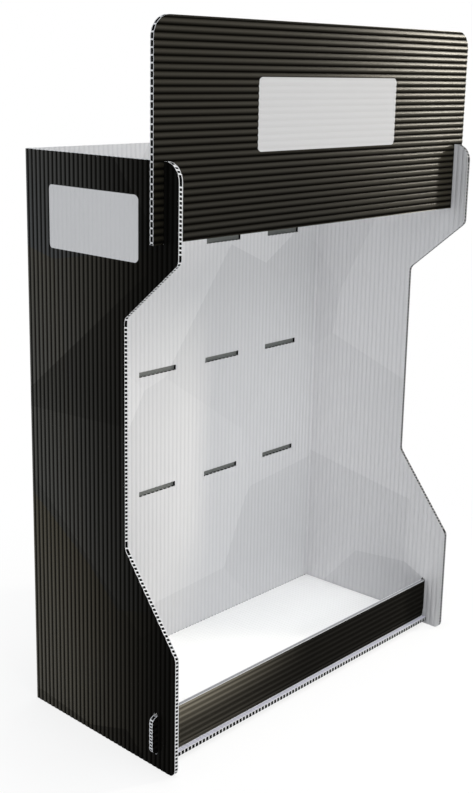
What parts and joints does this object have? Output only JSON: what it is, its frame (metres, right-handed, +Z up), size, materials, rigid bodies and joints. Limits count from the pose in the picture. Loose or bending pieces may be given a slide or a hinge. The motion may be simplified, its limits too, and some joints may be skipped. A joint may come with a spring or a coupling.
{
  "type": "counter display box",
  "caption": "Open-fronted countertop display of fluted plastic sheet, with stepped sides, a slotted back, a base, a low front lip and a tall blank header board.",
  "frame": {"origin": "centre of the box's footprint, on the surface it stands on", "axes": "+Z up, -Y out of the open front towards the shopper, +X to the right as seen from the front"},
  "size_m": [0.4074, 0.185, 0.6043],
  "materials": {
    "black_print": "black printed twin-wall polypropylene sheet, semi-gloss, with fine flute ridges",
    "white_sheet": "white twin-wall polypropylene sheet, satin, with fine flute ridges"
  },
  "bodies": {
    "root": {"body_wrap": "black_print", "front_lip": "black_print", "header_board": "black_print"}
  },
  "joints": []
}
